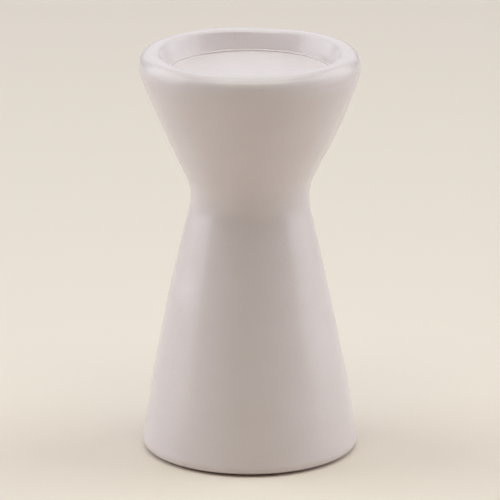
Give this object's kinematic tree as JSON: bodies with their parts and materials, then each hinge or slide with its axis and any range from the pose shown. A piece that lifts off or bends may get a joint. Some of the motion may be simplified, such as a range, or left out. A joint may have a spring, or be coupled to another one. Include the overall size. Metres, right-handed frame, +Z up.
{
  "type": "wooden candlestick",
  "caption": "Turned hourglass-shaped wooden candlestick, painted off-white, with a shallow rimmed dish that holds a pillar candle.",
  "frame": {"origin": "on the candlestick's axis, on the surface it stands on", "axes": "+Z up along the turning axis; +X and +Y are any two level directions"},
  "size_m": [0.098, 0.098, 0.1823],
  "materials": {
    "painted_wood": "off-white satin paint, brushed on turned wood",
    "bare_wood": "bare beech",
    "painted_steel": "off-white satin paint",
    "felt": "pressed wool felt"
  },
  "bodies": {
    "root": {"lower_body": "painted_wood", "cup": "painted_wood", "waist_dowel": "bare_wood", "candle_pan": "painted_steel", "felt_pad": "felt"}
  },
  "joints": []
}
